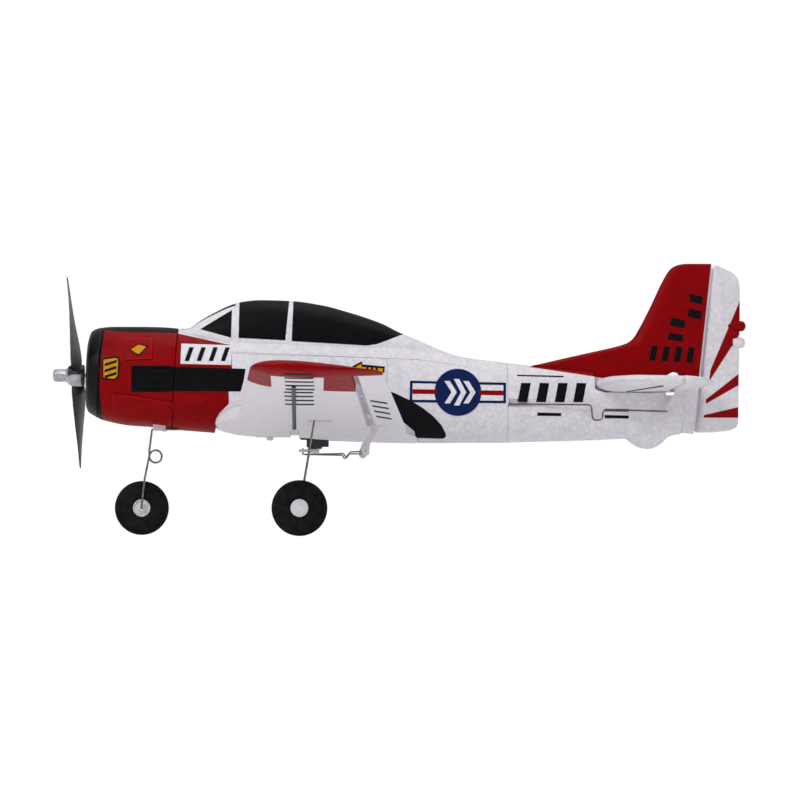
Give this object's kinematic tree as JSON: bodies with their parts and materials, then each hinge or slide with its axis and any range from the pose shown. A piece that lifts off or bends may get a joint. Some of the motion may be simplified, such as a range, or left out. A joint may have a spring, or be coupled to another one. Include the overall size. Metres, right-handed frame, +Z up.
{
  "type": "rc foam airplane",
  "caption": "Small park-flyer RC airplane: moulded foam low-wing airframe, geared nose propeller, hinged control surfaces worked by servos and wires, fixed wire landing gear.",
  "frame": {"origin": "centre of the bounding box on the ground under the wheels", "axes": "+Z up, nose towards -X, port side towards -Y, wing span along Y"},
  "size_m": [0.342, 0.4, 0.1342],
  "materials": {
    "foam_white": "moulded expanded-polypropylene foam, white, fine bead texture",
    "foam_red": "moulded expanded-polypropylene foam, painted red",
    "foam_black": "moulded expanded-polypropylene foam, painted satin black",
    "plastic_black": "injection moulded, black",
    "plastic_white": "injection moulded nylon, translucent white",
    "plastic_blue": "micro servo case",
    "blade": "flexible moulded propeller, dark grey",
    "spinner_metal": "turned and frosted",
    "motor_can": "drawn steel can",
    "steel": "spring steel wire",
    "magnet": "nickel-plated magnet",
    "brass": "machined",
    "gear_nylon": "moulded nylon gear",
    "carbon": "pultruded carbon rod",
    "tyre": "soft foam rubber tyre",
    "battery_foil": "foil pouch lithium polymer cell",
    "strap": "hook-and-loop strap",
    "board": "glass-epoxy circuit board",
    "wire_pvc": "silicone-covered lead",
    "lamp": "moulded lamp pod"
  },
  "bodies": {
    "airframe": {"fuselage_left": "foam_white", "fuselage_right": "foam_white", "cowl": "foam_red", "cowl_ring": "foam_black", "engine_face": "plastic_black", "gearbox": "plastic_black", "motor": "motor_can", "wing_left": "foam_white", "wing_right": "foam_white", "spars": "carbon", "wing_clip": "plastic_white", "belly_plate": "plastic_white", "aileron_hinges": "foam_white", "fin": "foam_red", "rudder_hinge": "foam_white", "stabiliser": "foam_white", "stabiliser_rod": "carbon", "elevator_hinge": "foam_white", "aileron_servo": "plastic_black", "elevator_servo": "plastic_blue", "rudder_servo": "plastic_blue", "equipment_tray": "plastic_black", "battery": "battery_foil", "battery_strap": "strap", "control_board": "board", "wiring": "wire_pvc", "screws": "steel", "nose_gear_wire": "steel", "nose_gear_plate": "plastic_white", "main_gear_wires": "steel", "gear_mounts": "plastic_white"},
    "propeller_group": {"propeller": "blade", "spinner": "spinner_metal", "prop_shaft": "steel", "spur_gear": "gear_nylon"},
    "pinion_group": {"pinion": "brass"},
    "hatch": {"canopy_hatch": "foam_white", "hatch_magnets": "magnet"},
    "aileron_l": {"aileron_left": "foam_white", "aileron_horn_left": "plastic_white"},
    "aileron_r": {"aileron_right": "foam_white", "aileron_horn_right": "plastic_white"},
    "elevator_group": {"elevator": "foam_white", "elevator_horn": "plastic_white"},
    "rudder_group": {"rudder": "foam_white", "rudder_horn": "plastic_white", "tail_lights": "lamp"},
    "ail_arm": {"aileron_arm": "plastic_white"},
    "ail_rod_l": {"aileron_pushrod_left": "steel"},
    "ail_rod_r": {"aileron_pushrod_right": "steel"},
    "elev_arm": {"elevator_arm": "plastic_white"},
    "elev_rod": {"elevator_pushrod": "steel"},
    "rud_arm": {"rudder_arm": "plastic_white"},
    "rud_rod": {"rudder_pushrod": "steel"},
    "nose_wheel": {"nose_tyre": "tyre", "nose_hub": "plastic_white"},
    "main_wheel_l": {"main_tyre_left": "tyre", "main_hub_left": "plastic_white"},
    "main_wheel_r": {"main_tyre_right": "tyre", "main_hub_right": "plastic_white"}
  },
  "joints": [
    {"name": "prop_spin", "type": "hinge", "parent": "airframe", "child": "propeller_group", "pos_m": [-0.1619, 0, 0.0786], "axis": [-1, 0, 0], "continuous": true},
    {"name": "pinion_spin", "type": "hinge", "parent": "airframe", "child": "pinion_group", "pos_m": [-0.1332, 0, 0.0678], "axis": [-1, 0, 0], "continuous": true},
    {"name": "hatch_lift", "type": "slide", "parent": "airframe", "child": "hatch", "axis": [0, 0, 1], "range_m": [0, 0.04]},
    {"name": "aileron_servo_arm", "type": "hinge", "parent": "airframe", "child": "ail_arm", "pos_m": [-0.042, 0, 0.0415], "axis": [0, 0, 1], "range_deg": [-35, 35]},
    {"name": "aileron_left_hinge", "type": "hinge", "parent": "airframe", "child": "aileron_l", "pos_m": [-0.0168, -0.045, 0.05812], "axis": [-0.0636, -0.9913, 0.1154], "range_deg": [-18, 18]},
    {"name": "aileron_right_hinge", "type": "hinge", "parent": "airframe", "child": "aileron_r", "pos_m": [-0.0168, 0.045, 0.05812], "axis": [-0.0636, 0.9913, 0.1154], "range_deg": [-18, 18]},
    {"name": "aileron_rod_left", "type": "hinge", "parent": "ail_arm", "child": "ail_rod_l", "pos_m": [-0.048, -0.0013, 0.0415], "axis": [0, 0, 1], "range_deg": [-29, 29]},
    {"name": "aileron_rod_right", "type": "hinge", "parent": "ail_arm", "child": "ail_rod_r", "pos_m": [-0.048, 0.0013, 0.0415], "axis": [0, 0, 1], "range_deg": [-29, 29]},
    {"name": "elevator_servo_arm", "type": "hinge", "parent": "airframe", "child": "elev_arm", "pos_m": [-0.008, -0.0133, 0.0784], "axis": [0, 1, 0], "range_deg": [-25, 25]},
    {"name": "elevator_hinge_line", "type": "hinge", "parent": "airframe", "child": "elevator_group", "pos_m": [0.1323, 0, 0.0743], "axis": [0, 1, 0], "range_deg": [-25, 25]},
    {"name": "elevator_rod", "type": "hinge", "parent": "elev_arm", "child": "elev_rod", "pos_m": [-0.0096, -0.0133, 0.0648], "axis": [0, 1, 0], "range_deg": [-25, 25]},
    {"name": "rudder_servo_arm", "type": "hinge", "parent": "airframe", "child": "rud_arm", "pos_m": [-0.007, 0, 0.0668], "axis": [0.1131, 0, 0.9936], "range_deg": [-30, 30]},
    {"name": "rudder_hinge_line", "type": "hinge", "parent": "airframe", "child": "rudder_group", "pos_m": [0.1454, 0, 0.05], "axis": [0.1131, 0, 0.9936], "range_deg": [-30, 30]},
    {"name": "rudder_rod", "type": "hinge", "parent": "rud_arm", "child": "rud_rod", "pos_m": [-0.007, 0.0136, 0.0668], "axis": [0.1131, 0, 0.9936], "range_deg": [-30, 30]},
    {"name": "nose_wheel_spin", "type": "hinge", "parent": "airframe", "child": "nose_wheel", "pos_m": [-0.1272, 0, 0.0133], "axis": [0, -1, 0], "continuous": true},
    {"name": "main_wheel_left_spin", "type": "hinge", "parent": "airframe", "child": "main_wheel_l", "pos_m": [-0.0495, -0.066, 0.0133], "axis": [0, -1, 0], "continuous": true},
    {"name": "main_wheel_right_spin", "type": "hinge", "parent": "airframe", "child": "main_wheel_r", "pos_m": [-0.0495, 0.066, 0.0133], "axis": [0, -1, 0], "continuous": true}
  ],
  "couplings": [
    {"joint": "pinion_spin", "follows": "prop_spin", "ratio": -5},
    {"joint": "aileron_left_hinge", "follows": "aileron_servo_arm", "ratio": 0.5},
    {"joint": "aileron_right_hinge", "follows": "aileron_servo_arm", "ratio": 0.5},
    {"joint": "aileron_rod_left", "follows": "aileron_servo_arm", "ratio": -0.814},
    {"joint": "aileron_rod_right", "follows": "aileron_servo_arm", "ratio": -0.814},
    {"joint": "elevator_hinge_line", "follows": "elevator_servo_arm", "ratio": 1},
    {"joint": "elevator_rod", "follows": "elevator_servo_arm", "ratio": -1},
    {"joint": "rudder_hinge_line", "follows": "rudder_servo_arm", "ratio": 1},
    {"joint": "rudder_rod", "follows": "rudder_servo_arm", "ratio": -1}
  ]
}
